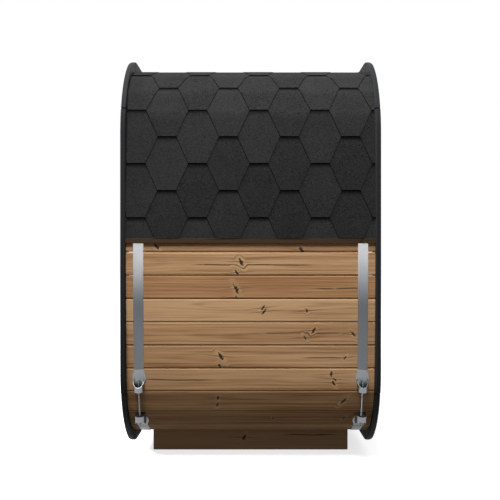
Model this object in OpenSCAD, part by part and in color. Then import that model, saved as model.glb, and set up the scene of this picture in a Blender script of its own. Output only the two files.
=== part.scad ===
// Outdoor sauna cabin: a stave barrel with the section of a rounded square, lying on its side.
// X runs along the cabin, Y across it with the front at -Y, Z up, and the ground is at Z = 0.
// The staves run along X between two end rings, steel bands draw them together, and hexagonal
// shingles on a thin deck cover the upper half.

/* [Overall] */
// Length over the two end rings
cabin_l = 1410; // [1100:10:2400]
// Width over the end rings
ring_width = 2100; // [1800:10:2300]
// Height of the end rings
ring_height = 2242; // [1900:2:2400]
// Height of the underside of the end rings above the ground
ring_lift = 58; // [40:1:100]

/* [End rings] */
// Thickness of the ring boards along the cabin
ring_t = 28; // [18:1:45]
// Width of the ring boards across the outline
ring_board = 125; // [100:1:160]
// Radius of the lower part of each ring corner
ring_r_side = 510; // [440:5:560]
// Radius of the part of each ring corner next to the cap board
ring_r_cap = 360; // [300:5:400]
// Angle at which the two corner radii meet
ring_r_split = 55; // [45:5:65]
// Step by which the corner boards lie inside the straight boards
ring_step = 3; // [0:0.5:6]
// Height of each side board
ring_side_board = 1552; // [1200:2:1700]
// Length of the top and bottom boards
ring_cap_board = 1410; // [1000:2:1500]

/* [Staves] */
// Thickness of a stave
stave_t = 42; // [28:1:60]
// Nominal width of a stave
stave_w = 129; // [90:1:160]
// Distance of the staves inside the ring at mid height
side_inset = 14; // [8:1:30]
// Distance of the staves inside the ring at mid width
cap_inset = 42; // [25:1:50]
// Drop of the barrel's middle below the middle of the rings
barrel_drop = 5; // [0:1:10]
// Radius of the barrel's corners
barrel_r = 350; // [280:5:420]
// Angle by which the bowed sides turn towards the corners
bow_angle = 5.2; // [2:0.1:8]

/* [Roof] */
// Thickness of the deck boards
deck_t = 9; // [8:0.5:18]
// Thickness of the shingles
shingle_t = 4; // [3:0.5:8]
// Height of the lower edge of the shingles above mid height
eave_rise = 74; // [40:1:120]
// Height of the batten under the eave
batten_h = 27; // [15:1:38]
// Thickness of the batten under the eave
batten_t = 11; // [8:0.5:20]

/* [Bands] */
// Width of the steel bands
band_w = 55; // [40:1:70]
// Thickness of the steel bands
band_t = 1.2; // [0.8:0.1:2]
// Distance from the end of the cabin to the middle of a band
band_inset = 96; // [90:1:140]
// Distance below mid height at which the upper bands end
band_end_drop = 667; // [600:1:700]
// Diameter of the threaded rods
rod_d = 10; // [8:1:14]
// Length of the threaded rods
rod_l = 268; // [240:2:320]
// Lean of the threaded rods
rod_tilt = 16; // [12:0.5:20]
// Thickness of the tensioner plates
plate_t = 3; // [2:0.5:4]

/* [Base] */
// Length of the base planks
skid_l = 1153; // [900:1:1160]
// Thickness of the base planks and cross beams
skid_t = 45; // [36:1:70]
// Distance of the front face of a base plank from the widest line of the ring
skid_inset = 374; // [340:2:420]
// Number of cross beams under the cabin
beam_count = 3; // [2:1:4]

/* [End walls and door] */
// Thickness of the end walls
wall_t = 45; // [36:1:60]
// Distance of the end walls inside the ends of the staves
wall_recess = 60; // [30:1:70]
// Width of the doorway in the wall
doorway_w = 720; // [640:5:800]
// Height of the wall above the middle of the doorway
over_door = 237; // [180:1:340]
// Height of the door sill's top above the floor
sill_rise = 52; // [40:1:80]
// Width of the door frame's boards
frame_w = 45; // [35:1:60]
// Gap around the door leaf
door_gap = 3; // [2:0.5:5]
// Length of the door handle
handle_l = 420; // [250:10:600]

/* [Hidden] */

wood = "#8a6a48";
dark_wood = "#5a4430";
shingle_grey = "#33343a";
ring_grey = "#3c3f45";
steel = "#b9bec4";

half_w = ring_width / 2;
half_h = ring_height / 2;
centre_z = ring_lift + half_h - barrel_drop;
stave_half = cabin_l / 2 - ring_t;
cut = 1;                                // how far a cutter runs past what it cuts

// Barrel outline, one quarter: a wide side arc, a corner arc and a wide cap arc, each tangent
// to the next. The arcs share the turn bow_angle at both ends of the corner.
bow_tan = tan(bow_angle / 2);
core_w = half_w - side_inset - barrel_r;
core_h = half_h - cap_inset - barrel_r;
corner_y = (core_w - bow_tan * core_h) / (1 - bow_tan * bow_tan);
corner_z = (core_h - bow_tan * core_w) / (1 - bow_tan * bow_tan);
side_r = barrel_r + corner_z / sin(bow_angle);
cap_r = barrel_r + corner_y / sin(bow_angle);
deg = 180 / PI;
side_len = side_r * bow_angle / deg;
corner_len = barrel_r * (90 - 2 * bow_angle) / deg;
cap_len = cap_r * bow_angle / deg;
quarter_len = side_len + corner_len + cap_len;
quarter_n = round(quarter_len / stave_w);
pitch = quarter_len / quarter_n;
side_n = round(side_len / pitch);
corner_n = round((side_len + corner_len) / pitch);

function arc_point(c, r, a) = [c[0] + r * cos(a), c[1] + r * sin(a)];

// Point of the quarter outline at length s from mid height, moved out by e along its normal.
function quarter_point(s, e) =
    s <= side_len ? arc_point([corner_y - (side_r - barrel_r) * cos(bow_angle), 0],
                              side_r + e, s / side_r * deg)
    : s <= side_len + corner_len ? arc_point([corner_y, corner_z], barrel_r + e,
                              bow_angle + (s - side_len) / barrel_r * deg)
    : arc_point([0, corner_z - (cap_r - barrel_r) * cos(bow_angle)], cap_r + e,
                90 - (quarter_len - s) / cap_r * deg);

// Stave joint number i, counted from the front at mid height up over the roof.
function joint_point(i, e) =
    let (q = floor(i / quarter_n), k = i - q * quarter_n, turn = (q % 4 + 4) % 4,
         p = quarter_point((turn % 2 == 0 ? k : quarter_n - k) * pitch, e))
    [(turn == 0 || turn == 3 ? -1 : 1) * p[0], (turn < 2 ? 1 : -1) * p[1]];

// Point at any station along the flat-faced staves.
function rim(s, e) =
    let (i = floor(s), f = s - i)
    f == 0 ? joint_point(i, e) : joint_point(i, e) * (1 - f) + joint_point(i + 1, e) * f;

function stations(s0, s1) = concat([s0], [for (i = [floor(s0) + 1 : 1 : ceil(s1) - 1]) i], [s1]);

// Station on the front side at height z from mid height, within the bowed side.
function side_station(z) = asin(z / side_r) / deg * side_r / pitch;

half_turn = 2 * quarter_n;
eave_station = side_station(eave_rise);
batten_station = side_station(eave_rise - batten_h);
band_end_station = side_station(-band_end_drop);
low_band_station = -side_n - 1.55;

// Ring outline, one quarter: two arcs of unlike radius, tangent to the straight boards.
ring_c_side = [half_w - ring_r_side, half_h - ring_r_cap - (ring_r_side - ring_r_cap) * sin(ring_r_split)];
ring_c_cap = ring_c_side + (ring_r_side - ring_r_cap) * [cos(ring_r_split), sin(ring_r_split)];
ring_quarter_step = 5;

function ring_point(a, e) =
    a <= ring_r_split ? arc_point(ring_c_side, ring_r_side + e, a)
    : arc_point(ring_c_cap, ring_r_cap + e, a);

function ring_quarter(e, sy, sz, up) =
    [for (i = [0 : ring_quarter_step : 90])
        let (p = ring_point(up ? i : 90 - i, e)) [sy * p[0], sz * p[1]]];

module ring_profile(e) {
    polygon(concat(ring_quarter(e, 1, 1, true), ring_quarter(e, -1, 1, false),
                   ring_quarter(e, -1, -1, true), ring_quarter(e, 1, -1, false)));
}

// A section drawn in (Y, Z) about the barrel's middle, carried along X from x0 to x1.
module along(x0, x1) {
    translate([x0, 0, centre_z]) rotate([90, 0, 90]) linear_extrude(x1 - x0) children();
}

// A part of the barrel wall between two stations and two offsets.
module wall_section(s0, s1, e0, e1) {
    list = stations(s0, s1);
    n = len(list) - 1;
    polygon(concat([for (i = [0 : n]) rim(list[i], e1)], [for (i = [0 : n]) rim(list[n - i], e0)]));
}

module barrel_profile(e) {
    polygon([for (i = [0 : 4 * quarter_n - 1]) joint_point(i, e)]);
}

module stave_group(s0, s1) {
    color(wood) along(-stave_half, stave_half) wall_section(s0, s1, -stave_t, 0);
}

module floor_staves() { stave_group(half_turn + corner_n, 2 * half_turn - corner_n); }
module front_lower_corner_staves() { stave_group(-corner_n, -side_n); }
module back_lower_corner_staves() { stave_group(half_turn + side_n, half_turn + corner_n); }
module front_side_staves() { stave_group(-side_n, side_n); }
module back_side_staves() { stave_group(half_turn - side_n, half_turn + side_n); }
module front_upper_corner_staves() { stave_group(side_n, corner_n); }
module back_upper_corner_staves() { stave_group(half_turn - corner_n, half_turn - side_n); }
module roof_staves() { stave_group(corner_n, half_turn - corner_n); }

// Roof layers, with a shallow channel over each steel band.
band_x = cabin_l / 2 - band_inset;
band_room = 1;

module band_channels() {
    for (side = [-1, 1])
        along(side * band_x - band_w / 2 - band_room, side * band_x + band_w / 2 + band_room)
            wall_section(0, half_turn, -cut, band_t + 0.3);
}

module deck(s0, s1) {
    color(dark_wood) difference() {
        along(-stave_half, stave_half) wall_section(s0, s1, 0, deck_t);
        band_channels();
    }
}

module shingles(s0, s1) {
    color(shingle_grey) along(-stave_half, stave_half)
        wall_section(s0, s1, deck_t, deck_t + shingle_t);
}

module batten(s0, s1) {
    color(dark_wood) difference() {
        along(-stave_half, stave_half) wall_section(s0, s1, 0, batten_t);
        band_channels();
    }
}

module front_roof_deck() { deck(eave_station, corner_n); }
module top_roof_deck() { deck(corner_n, half_turn - corner_n); }
module back_roof_deck() { deck(half_turn - corner_n, half_turn - eave_station); }
module front_shingles() { shingles(eave_station, corner_n); }
module top_shingles() { shingles(corner_n, half_turn - corner_n); }
module back_shingles() { shingles(half_turn - corner_n, half_turn - eave_station); }
module front_eave_batten() { batten(batten_station, eave_station); }
module back_eave_batten() { batten(half_turn - eave_station, half_turn - batten_station); }

// End rings, in straight side boards, straight cap boards and four corner boards.
module ring_boards(side, e) {
    x = side * (cabin_l / 2 - ring_t / 2);
    color(ring_grey) translate([0, 0, barrel_drop]) along(x - ring_t / 2, x + ring_t / 2) intersection() {
        difference() {
            ring_profile(e);
            ring_profile(-ring_board);
        }
        children();
    }
}

module ring_sides(side) {
    ring_boards(side, 0) square([2 * half_w, ring_side_board], center = true);
}

module ring_caps(side) {
    ring_boards(side, 0) square([ring_cap_board, 2 * half_h], center = true);
}

module ring_corners(side) {
    for (sy = [-1, 1], sz = [-1, 1])
        ring_boards(side, -ring_step)
            translate([sy > 0 ? ring_cap_board / 2 : -half_w,
                       sz > 0 ? ring_side_board / 2 : -half_h])
                square([half_w - ring_cap_board / 2, half_h - ring_side_board / 2]);
}

module left_ring_sides() { ring_sides(-1); }
module left_ring_corners() { ring_corners(-1); }
module left_ring_caps() { ring_caps(-1); }
module right_ring_sides() { ring_sides(1); }
module right_ring_corners() { ring_corners(1); }
module right_ring_caps() { ring_caps(1); }

// Steel bands: the upper one passes over the roof, the lower one under the floor.
module band(side, s0, s1) {
    color(steel) along(side * band_x - band_w / 2, side * band_x + band_w / 2)
        wall_section(s0, s1, 0, band_t);
}

module upper_band(side) { band(side, band_end_station, half_turn - band_end_station); }
module lower_band(side) {
    band(side, half_turn - low_band_station, 2 * half_turn + low_band_station);
}

module left_upper_band() { upper_band(-1); }
module right_upper_band() { upper_band(1); }
module left_lower_band() { lower_band(-1); }
module right_lower_band() { lower_band(1); }

// Tensioners: a cup of the same shape on the end of each band, and a threaded rod with two nuts
// that draws the upper and the lower cup towards each other.
rod_y = half_w - side_inset;
rod_z = 697;
hole_room = 0.4;
cup_r = 28;
cup_front = 30;
cup_back = 62;
cup_floor = 5;
cup_reach = 100;
ear_half = 37;
nut_af = 17;
nut_h = 9;
rod_end = 8;
upper_cup_z = -62;
lower_cup_z = -208;

module tensioner_places() {
    for (sx = [-1, 1], sy = [0, 1])
        mirror([0, sy, 0]) translate([sx * band_x, 0, 0]) children();
}

module rod_frame() {
    translate([0, -rod_y, centre_z - rod_z]) rotate([rod_tilt, 0, 0]) children();
}

// The upper cup opens upwards and the lower cup downwards.
module cup_frame(upper) {
    rod_frame() translate([0, 0, upper ? upper_cup_z : lower_cup_z]) mirror([0, 0, upper ? 0 : 1])
        children();
}

module cup_outline(r) {
    circle(r = r, $fn = 64);
    translate([-r, 0]) square([2 * r, cup_reach]);
}

// Round-fronted pocket whose rim slopes down from the plate to the front.
module cup_pocket() {
    difference() {
        linear_extrude(cup_back) cup_outline(cup_r);
        translate([0, 0, cup_floor]) linear_extrude(cup_back) cup_outline(cup_r - plate_t);
        rotate([90, 0, 90]) translate([0, 0, -2 * cup_r]) linear_extrude(4 * cup_r)
            polygon([[-2 * cup_r, cup_front], [-cup_r, cup_front], [cup_r / 2, cup_back],
                     [cup_reach, cup_back], [cup_reach, 2 * cup_back], [-2 * cup_r, 2 * cup_back]]);
    }
}

// The back plate spreads into two ears beside the cup and tapers to the band.
module cup_plate_outline() {
    rotate([90, 0, 0]) translate([0, 0, -cup_reach]) linear_extrude(2 * cup_reach)
        polygon([[-cup_r, 0], [cup_r, 0], [cup_r, cup_back / 2], [ear_half, cup_back - 8],
                 [ear_half, cup_back + 8], [band_w / 2, cup_back + 48],
                 [-band_w / 2, cup_back + 48], [-ear_half, cup_back + 8],
                 [-ear_half, cup_back - 8], [-cup_r, cup_back / 2]]);
}

module tensioner_cup(upper) {
    color(steel) tensioner_places() difference() {
        union() {
            cup_frame(upper) cup_pocket();
            intersection() {
                cup_frame(upper) cup_plate_outline();
                along(-2 * cup_r, 2 * cup_r) wall_section(-corner_n, 0, band_t, band_t + plate_t);
            }
        }
        along(-2 * cup_r, 2 * cup_r) barrel_profile(band_t);
        cup_frame(upper) translate([0, 0, -cut])
            cylinder(r = rod_d / 2 + hole_room, h = cup_floor + 2 * cut, $fn = 48);
    }
}

module upper_tensioner_cups() { tensioner_cup(true); }
module lower_tensioner_cups() { tensioner_cup(false); }

module tensioner_rods() {
    color(steel) tensioner_places() rod_frame()
        translate([0, 0, -rod_l - rod_end]) cylinder(d = rod_d, h = rod_l, $fn = 48);
}

module nut() {
    difference() {
        cylinder(d = nut_af / cos(30), h = nut_h, $fn = 6);
        translate([0, 0, -cut]) cylinder(r = rod_d / 2 + hole_room, h = nut_h + 2 * cut, $fn = 48);
    }
}

module tensioner_nuts() {
    color(steel) tensioner_places()
        for (upper = [true, false]) cup_frame(upper) translate([0, 0, cup_floor]) nut();
}

// Base: two planks along the cabin, and cross beams between them that carry the floor staves.
module base_section() {
    difference() {
        translate([0, -centre_z]) children();
        barrel_profile(0);
    }
}

skid_y = half_w - skid_inset - skid_t;
skid_top = ring_lift + cap_inset + 80;

module base_skids() {
    for (sy = [-1, 1])
        color(dark_wood) along(-skid_l / 2, skid_l / 2) base_section()
            translate([sy > 0 ? skid_y : -skid_y - skid_t, 0]) square([skid_t, skid_top]);
}

module base_crossbeams() {
    beam_step = (skid_l - skid_t) / (beam_count - 1);
    for (i = [0 : beam_count - 1]) {
        x = -skid_l / 2 + i * beam_step;
        color(dark_wood) along(x, x + skid_t) base_section()
            translate([-skid_y, 0]) square([2 * skid_y, skid_top]);
    }
}

// End walls, set inside the ends of the staves. The doorway is in the right one.
wall_out = stave_half - wall_recess;
wall_in = wall_out - wall_t;
room_half_h = half_h - cap_inset - stave_t;
doorway_top = room_half_h - over_door;
sill_drop = room_half_h - sill_rise;

module end_wall_section() { barrel_profile(-stave_t); }

module left_end_wall() {
    color(wood) along(-wall_out, -wall_in) end_wall_section();
}

module right_wall_side(sy) {
    color(wood) along(wall_in, wall_out) intersection() {
        end_wall_section();
        translate([sy > 0 ? doorway_w / 2 : -half_w, -half_h])
            square([half_w - doorway_w / 2, 2 * half_h]);
    }
}

module right_wall_front() { right_wall_side(-1); }
module right_wall_back() { right_wall_side(1); }

module right_wall_over_door() {
    color(wood) along(wall_in, wall_out) intersection() {
        end_wall_section();
        translate([-doorway_w / 2, doorway_top]) square([doorway_w, half_h]);
    }
}

// Door frame and door leaf.
jamb_y = doorway_w / 2 - frame_w;
leaf_bottom = -sill_drop + door_gap;
leaf_top = doorway_top - frame_w - door_gap;

module door_jambs() {
    for (sy = [-1, 1])
        color(wood) along(wall_in, wall_out)
            translate([sy > 0 ? jamb_y : -jamb_y - frame_w, -sill_drop])
                square([frame_w, sill_drop + doorway_top - frame_w]);
}

module door_head() {
    color(wood) along(wall_in, wall_out)
        translate([-doorway_w / 2, doorway_top - frame_w]) square([doorway_w, frame_w]);
}

module door_sill() {
    color(wood) along(wall_in, wall_out) intersection() {
        end_wall_section();
        translate([-doorway_w / 2, -half_h]) square([doorway_w, half_h - sill_drop]);
    }
}

module door_leaf() {
    color(wood) along(wall_in, wall_out)
        translate([-jamb_y + door_gap, leaf_bottom])
            square([2 * (jamb_y - door_gap), leaf_top - leaf_bottom]);
}

hinge_h = 90;
hinge_leaf = 38;
hinge_t = 3;
knuckle_r = 7;
hinge_z = [leaf_bottom + 202, leaf_top - 192];

module door_hinges() {
    for (z = hinge_z)
        color(steel) translate([wall_out, jamb_y - door_gap / 2, centre_z + z]) {
            translate([0, -hinge_leaf, 0]) cube([hinge_t, 2 * hinge_leaf, hinge_h]);
            translate([knuckle_r, 0, 0]) cylinder(r = knuckle_r, h = hinge_h, $fn = 32);
        }
}

handle_y = -jamb_y + 70;
handle_mid = -60;
handle_grip = [28, 34];
handle_off = 45;
post_h = 40;

module door_handle() {
    color(wood) translate([wall_out, handle_y - handle_grip[1] / 2, centre_z + handle_mid]) {
        translate([handle_off, 0, -handle_l / 2]) cube([handle_grip[0], handle_grip[1], handle_l]);
        for (z = [-handle_l / 2 + post_h, handle_l / 2 - 2 * post_h])
            translate([0, 0, z]) cube([handle_off + cut, handle_grip[1], post_h]);
    }
}

floor_staves();
front_lower_corner_staves();
back_lower_corner_staves();
front_side_staves();
back_side_staves();
front_upper_corner_staves();
back_upper_corner_staves();
roof_staves();
front_roof_deck();
top_roof_deck();
back_roof_deck();
front_shingles();
top_shingles();
back_shingles();
front_eave_batten();
back_eave_batten();
left_ring_sides();
left_ring_corners();
left_ring_caps();
right_ring_sides();
right_ring_corners();
right_ring_caps();
left_upper_band();
right_upper_band();
left_lower_band();
right_lower_band();
upper_tensioner_cups();
lower_tensioner_cups();
tensioner_rods();
tensioner_nuts();
base_skids();
base_crossbeams();
left_end_wall();
right_wall_front();
right_wall_back();
right_wall_over_door();
door_jambs();
door_head();
door_sill();
door_leaf();
door_hinges();
door_handle();
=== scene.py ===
"""The looks of an outdoor sauna cabin: a stave barrel with shingles, end rings and steel bands.

X runs along the cabin, the front is at -Y and Z is up. Lengths are in metres. A joint is a line
where two staves meet. Joints are numbered from the front at mid height up over the roof.
"""

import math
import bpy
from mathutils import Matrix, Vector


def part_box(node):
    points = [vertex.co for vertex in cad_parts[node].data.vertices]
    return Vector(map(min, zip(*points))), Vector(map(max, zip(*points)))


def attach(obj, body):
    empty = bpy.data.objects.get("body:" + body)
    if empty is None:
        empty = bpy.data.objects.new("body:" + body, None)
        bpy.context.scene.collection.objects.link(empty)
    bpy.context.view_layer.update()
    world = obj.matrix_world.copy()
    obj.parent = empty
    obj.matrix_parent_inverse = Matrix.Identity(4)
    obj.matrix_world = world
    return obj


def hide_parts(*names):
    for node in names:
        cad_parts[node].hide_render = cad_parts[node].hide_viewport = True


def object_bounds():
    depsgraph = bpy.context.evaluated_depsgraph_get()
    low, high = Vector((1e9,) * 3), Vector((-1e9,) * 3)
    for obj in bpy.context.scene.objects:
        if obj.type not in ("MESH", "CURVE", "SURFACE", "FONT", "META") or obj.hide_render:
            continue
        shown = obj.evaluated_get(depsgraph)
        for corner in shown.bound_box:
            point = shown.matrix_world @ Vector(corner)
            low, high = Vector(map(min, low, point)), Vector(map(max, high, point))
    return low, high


bl_info = {
    "name": "Sauna Cabin Looks",
    "version": (1, 0, 0),
    "blender": (4, 5, 0),
    "location": "View3D > Sidebar > Sauna",
    "description": "Makes the boards, shingles, bands and stage of an outdoor sauna cabin",
    "category": "Object",
}

import bmesh
import bpy
import numpy as np

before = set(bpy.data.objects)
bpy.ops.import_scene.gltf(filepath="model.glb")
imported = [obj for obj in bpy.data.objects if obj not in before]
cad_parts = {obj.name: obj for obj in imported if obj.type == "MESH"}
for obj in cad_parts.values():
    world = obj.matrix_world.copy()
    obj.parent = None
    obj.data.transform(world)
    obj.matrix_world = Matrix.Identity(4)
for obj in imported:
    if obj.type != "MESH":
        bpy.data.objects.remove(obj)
CAD_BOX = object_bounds()

STAVE_NODES = (
    "floor_staves", "front_lower_corner_staves", "back_lower_corner_staves",
    "front_side_staves", "back_side_staves", "front_upper_corner_staves",
    "back_upper_corner_staves", "roof_staves",
)
DECK_NODES = ("front_roof_deck", "top_roof_deck", "back_roof_deck")
BATTEN_NODES = ("front_eave_batten", "back_eave_batten")
SHINGLE_NODES = ("front_shingles", "top_shingles", "back_shingles")
RING_NODES = tuple(f"{side}_ring_{part}" for side in ("left", "right")
                   for part in ("sides", "corners", "caps"))
BAND_NODES = ("left_upper_band", "right_upper_band", "left_lower_band", "right_lower_band")

# Knots that are placed on the front: distance along, height and size.
FRONT_KNOTS = (
    (-0.512, 1.207, 0.011), (0.277, 1.184, 0.011), (-0.052, 1.120, 0.012), (-0.075, 1.062, 0.009),
    (-0.079, 0.975, 0.013), (-0.076, 0.925, 0.007), (0.067, 0.871, 0.008), (0.072, 0.850, 0.008),
    (0.305, 0.854, 0.006), (-0.349, 0.872, 0.008), (0.343, 0.748, 0.010), (0.559, 0.727, 0.009),
    (0.296, 0.708, 0.007), (-0.528, 0.741, 0.007), (-0.117, 0.741, 0.006), (-0.163, 0.606, 0.012),
    (-0.169, 0.552, 0.008), (0.515, 0.598, 0.005), (0.459, 0.479, 0.006), (0.452, 0.458, 0.009),
    (0.440, 0.508, 0.009), (-0.179, 0.373, 0.008), (-0.182, 0.335, 0.008), (0.510, 0.354, 0.011),
    (0.484, 0.318, 0.008), (-0.588, 0.352, 0.008), (0.127, 0.243, 0.007), (0.521, 0.246, 0.007),
)
# Dark resin lines on the front: height, start and end along the cabin.
FRONT_LINES = (
    (1.104, -0.34, 0.38), (0.975, 0.30, 0.68), (0.733, -0.04, 0.60), (0.598, 0.25, 0.56),
    (0.474, -0.62, -0.17),
)
# Tone of the front staves, from light to dark, from the eave down: the boards' own tones, with
# painted shade that darkens the lower staves.
FRONT_TONES_AND_SHADE = (0.42, 0.30, 0.50, -0.05, 0.38, 0.45, 0.52, 0.62, 0.8)
FRONT_WARMTHS = (0.5, 0.45, 0.9, 0.2, 0.6, 0.5, 0.45, 0.3, 0.4)


# ---------------------------------------------------------------------------------------------
# Settings

def length(name, description, default, **limits):
    """A size in metres."""
    return bpy.props.FloatProperty(name=name, description=description, default=default,
                                   unit="LENGTH", precision=4, **limits)


def colour(name, description, default):
    """A colour, as the light share that it throws back."""
    return bpy.props.FloatVectorProperty(name=name, description=description, default=default,
                                         subtype="COLOR", size=3, min=0, max=1)


class CabinSizes(bpy.types.PropertyGroup):
    """Sizes of the details that the boards, shingles and fittings get."""

    stave_chamfer: length("Stave chamfer", "Width of the chamfer along a stave's edges", 0.0065)
    stave_gap: length("Stave gap", "Gap between two staves", 0.0030)
    end_bevel: length("End bevel", "Bevel around the ends of a stave", 0.002)
    tab_pitch: length("Tab pitch", "Distance between two shingle tabs of a row", 0.333)
    tab_flat: length("Tab flat", "Width of the straight end of a shingle tab", 0.100)
    exposure: length("Exposure", "Height of a shingle row that stays uncovered", 0.147)
    tuck: length("Tuck", "Length that a shingle reaches under the second row above", 0.018)
    eave_cut: length("Eave cut", "Length cut off the lowest shingle tabs at the eave", 0.033)
    tab_shift: length("Tab shift", "Place along the cabin of the first tab", 0.045)
    board_bevel: length("Board bevel", "Bevel along the edges of the ring boards", 0.0045)
    thread_pitch: length("Thread pitch", "Pitch of the threaded rods", 0.0015)
    thread_depth: length("Thread depth", "Depth of the thread", 0.0009)
    wall_board: length("Wall board", "Width of a board of the end walls and the door", 0.12)


class CabinColours(bpy.types.PropertyGroup):
    """Colours of the finishes."""

    wood_light: colour("Light wood", "Earlywood of the heat-treated boards", (0.530, 0.338, 0.184))
    wood_dark: colour("Dark wood", "Latewood of the heat-treated boards", (0.200, 0.104, 0.046))
    wood_red: colour("Red wood", "Warmer tone of some boards", (0.350, 0.165, 0.068))
    knot: colour("Knot", "Middle of a knot", (0.022, 0.012, 0.007))
    plank_light: colour("Light plank", "Lighter tone of the base planks", (0.560, 0.350, 0.200))
    plank_dark: colour("Dark plank", "Darker tone of the base planks", (0.270, 0.150, 0.080))
    # Painted shade: the eave battens are coloured as dark as the shade under the eaves.
    shaded_batten_light: colour("Light batten", "Lighter tone of the eave battens", (0.050, 0.029, 0.015))
    shaded_batten_dark: colour("Dark batten", "Darker tone of the eave battens", (0.020, 0.011, 0.006))
    shingle: colour("Shingle", "Granules of the shingles", (0.0250, 0.0250, 0.0252))
    paint: colour("Paint", "Paint on the end rings", (0.021, 0.022, 0.024))
    # The two band colours paint a reflection: bright steel near the eave and dark steel further down.
    band_high_reflection: colour("Upper band", "Steel of the bands near the eave", (0.56, 0.57, 0.59))
    band_low_reflection: colour("Lower band", "Steel of the bands further down, darker with a painted reflection", (0.085, 0.092, 0.097))
    steel: colour("Steel", "Steel of the tensioners and hinges", (0.150, 0.156, 0.165))


class StageSettings(bpy.types.PropertyGroup):
    """Floor, lamps and camera."""

    floor_size: length("Floor size", "Side of the square floor", 60)
    camera_gap: length("Camera gap", "Distance from the camera to the front of the cabin", 3.743)
    camera_left: length("Camera left", "Distance of the camera left of the middle", 0.0034)
    camera_up: length("Camera up", "Height of the camera above the middle of the rings", 0.0059)
    ambient: bpy.props.FloatProperty(name="Ambient", description="Light from all round",
                                     default=0.60, min=0)


def sizes():
    return bpy.context.scene.cabin_sizes


def colours():
    return bpy.context.scene.cabin_colours


def stage_settings():
    return bpy.context.scene.cabin_stage


# ---------------------------------------------------------------------------------------------
# Shader maths

class Value:
    """A number or vector that a material works out; an expression on it adds Math nodes."""

    def __init__(self, paint, socket):
        self.paint = paint
        self.socket = socket

    def maths(self, operation, *values):
        return self.paint.node("ShaderNodeMath", {"operation": operation}, *values)

    def __add__(self, other):
        return self.maths("ADD", self, other)

    def __sub__(self, other):
        return self.maths("SUBTRACT", self, other)

    def __rsub__(self, other):
        return self.maths("SUBTRACT", other, self)

    def __mul__(self, other):
        return self.maths("MULTIPLY", self, other)

    def __truediv__(self, other):
        return self.maths("DIVIDE", self, other)

    def __rtruediv__(self, other):
        return self.maths("DIVIDE", other, self)

    def __pow__(self, other):
        return self.maths("POWER", self, other)

    def __abs__(self):
        return self.maths("ABSOLUTE", self)

    __radd__ = __add__
    __rmul__ = __mul__

    def least(self, other):
        return self.maths("MINIMUM", self, other)

    def most(self, other):
        return self.maths("MAXIMUM", self, other)

    def wave(self):
        """Sine, from 0 to 1."""
        return self.maths("SINE", self) * 0.5 + 0.5

    def rise(self, low, high):
        """0 below low, 1 above high, smooth between them."""
        return self.paint.node("ShaderNodeMapRange", {"interpolation_type": "SMOOTHSTEP"},
                               self, low, high)

    def fall(self, low, high):
        """1 below low, 0 above high, smooth between them."""
        return 1 - self.rise(low, high)


class Finish:
    """A material that is built from expressions."""

    def __init__(self, name):
        self.material = bpy.data.materials.new(name)
        self.material.use_nodes = True
        self.tree = self.material.node_tree
        self.shader = self.tree.nodes["Principled BSDF"]

    def node(self, kind, settings, *values, out=0, **named):
        """Adds a node: its settings first, then its sockets by order and by name."""
        node = self.tree.nodes.new(kind)
        for key, value in settings.items():
            setattr(node, key, value)
        for place, value in [*enumerate(values), *named.items()]:
            self.feed(node.inputs[place], value)
        return Value(self, node.outputs[out])

    def feed(self, socket, value):
        if isinstance(value, Value):
            self.tree.links.new(value.socket, socket)
        else:
            socket.default_value = value

    def attribute(self, name):
        return self.node("ShaderNodeAttribute", {"attribute_name": name}, out="Vector")

    def parts(self, vector):
        node = self.tree.nodes.new("ShaderNodeSeparateXYZ")
        self.feed(node.inputs[0], vector)
        return [Value(self, output) for output in node.outputs]

    def place(self):
        return self.node("ShaderNodeTexCoord", {}, out="Object")

    def vector(self, x, y, z):
        return self.node("ShaderNodeCombineXYZ", {}, x, y, z)

    def noise(self, vector, detail=2.0, rough=0.5):
        return self.node("ShaderNodeTexNoise", {}, Vector=vector, Scale=1.0, Detail=detail,
                         Roughness=rough)

    def mix(self, share, first, second):
        """Colour that goes from first to second as share goes from 0 to 1."""
        pair = [tuple(c) + (1,) if not isinstance(c, Value) else c for c in (first, second)]
        node = self.tree.nodes.new("ShaderNodeMix")
        node.data_type = "RGBA"
        node.clamp_factor = True
        for socket, value in zip((node.inputs[0], node.inputs[6], node.inputs[7]), (share, *pair)):
            self.feed(socket, value)
        return Value(self, node.outputs[2])

    def scale(self, tint, amount):
        """Colour multiplied by a number."""
        return self.node("ShaderNodeVectorMath", {"operation": "SCALE"}, tint, Scale=amount)

    def finish(self, metallic=0.0, specular=0.5, **sockets):
        self.shader.inputs["Metallic"].default_value = metallic
        self.shader.inputs["Specular IOR Level"].default_value = specular
        for name, value in sockets.items():
            self.feed(self.shader.inputs[name.replace("_", " ").title()], value)
        return self.material

    def bump(self, height, distance, strength=1.0):
        return self.node("ShaderNodeBump", {}, Strength=strength, Distance=distance,
                         Height=height, out="Normal")


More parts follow.
